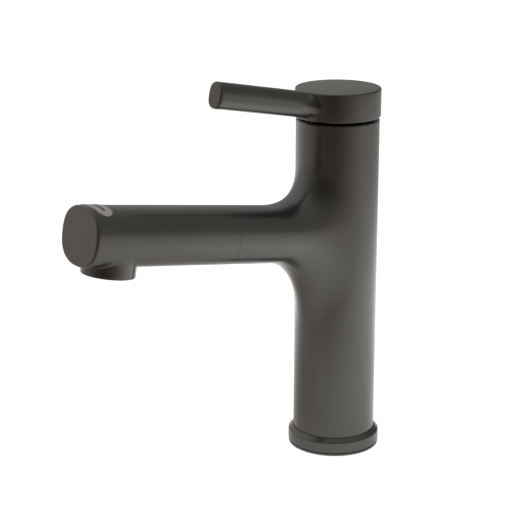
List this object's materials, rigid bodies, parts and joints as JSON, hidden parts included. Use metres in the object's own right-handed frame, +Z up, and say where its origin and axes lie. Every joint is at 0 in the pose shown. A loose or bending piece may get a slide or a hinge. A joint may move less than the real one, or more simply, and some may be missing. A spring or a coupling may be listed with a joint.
{
  "type": "bathroom mixer faucet",
  "caption": "Single-lever basin mixer: round column on a ring base, rounded-square spout rising forward with a pull-out spray head, outlet collar underneath, flat bar lever on a round cap.",
  "frame": {"origin": "centre of the round base, on the deck plane under the gasket", "axes": "+Z up along the column, -Y along the spout and lever (front), +X to the hot side, X = 0 is the mirror plane of the outside"},
  "size_m": [0.0516, 0.1962, 0.2188],
  "materials": {
    "graphite_metal": "satin graphite coating on a metal casting",
    "graphite_shell": "satin graphite coating on moulded plastic",
    "raw_brass": "turned, uncoated",
    "copper_tube": "drawn copper alloy tube",
    "steel": "plain stainless",
    "braid": "grey nylon braid over a rubber tube",
    "white_pom": "moulded",
    "grey_pom": "moulded",
    "light_grey": "satin light grey",
    "ceramic": "lapped ceramic",
    "rubber": "moulded elastomer",
    "gasket_grey": "pale grey elastomer"
  },
  "bodies": {
    "column": {"body_casting": "graphite_metal", "base_ring": "graphite_metal", "base_gasket": "gasket_grey", "hose_guide": "white_pom", "hose_tail": "raw_brass", "tail_seals": "rubber", "cold_pipe": "copper_tube", "hot_pipe": "copper_tube", "mixed_pipe": "copper_tube", "pipe_seals": "rubber", "valve_carrier": "white_pom", "port_seals": "rubber", "cartridge_base": "grey_pom", "fixed_disc": "ceramic", "cartridge_housing": "white_pom", "retaining_nut": "raw_brass", "docking_sleeve": "grey_pom"},
    "rotor": {"stem_rotor": "grey_pom", "pivot_pin": "steel"},
    "disc": {"moving_disc": "ceramic", "disc_driver": "grey_pom"},
    "handle": {"handle_lever": "graphite_metal", "lever_end_cap": "graphite_metal", "cartridge_stem": "raw_brass", "grub_screw": "steel", "index_plug": "graphite_shell"},
    "spray": {"spray_shell": "graphite_shell", "spray_end_cap": "graphite_shell", "spray_core": "white_pom", "spray_inlet": "raw_brass", "check_valve": "white_pom", "inlet_washer": "rubber", "hose_nut": "raw_brass", "hose_insert": "raw_brass", "hose_ferrule": "steel", "spray_hose": "braid", "nozzle_plate": "grey_pom", "nozzle_mat": "rubber", "aerator_body": "white_pom", "aerator_screen": "steel", "face_seal": "rubber", "button_spring": "steel"},
    "button": {"mode_button": "light_grey", "diverter_spool": "steel", "spool_seals": "rubber"}
  },
  "joints": [
    {"name": "handle_turn", "type": "hinge", "parent": "column", "child": "rotor", "pos_m": [0, 0, 0.1687], "axis": [0, 0, 1], "range_deg": [-45, 45]},
    {"name": "handle_lift", "type": "hinge", "parent": "rotor", "child": "handle", "pos_m": [0, 0, 0.1687], "axis": [-1, 0, 0], "range_deg": [0, 22]},
    {"name": "disc_slide", "type": "slide", "parent": "rotor", "child": "disc", "axis": [0, -1, 0], "range_m": [0, 0.0036]},
    {"name": "spray_pull", "type": "slide", "parent": "column", "child": "spray", "axis": [0, -0.987, 0.1607], "range_m": [0, 0.2], "deforming": ["spray_hose"]},
    {"name": "button_press", "type": "slide", "parent": "spray", "child": "button", "axis": [0, -0.1607, -0.987], "range_m": [0, 0.001], "stiffness_N_per_m": 600, "springref_m": -0.002, "deforming": ["button_spring"]}
  ],
  "couplings": [
    {"joint": "disc_slide", "follows": "handle_lift", "m_per_rad": 0.009268}
  ]
}
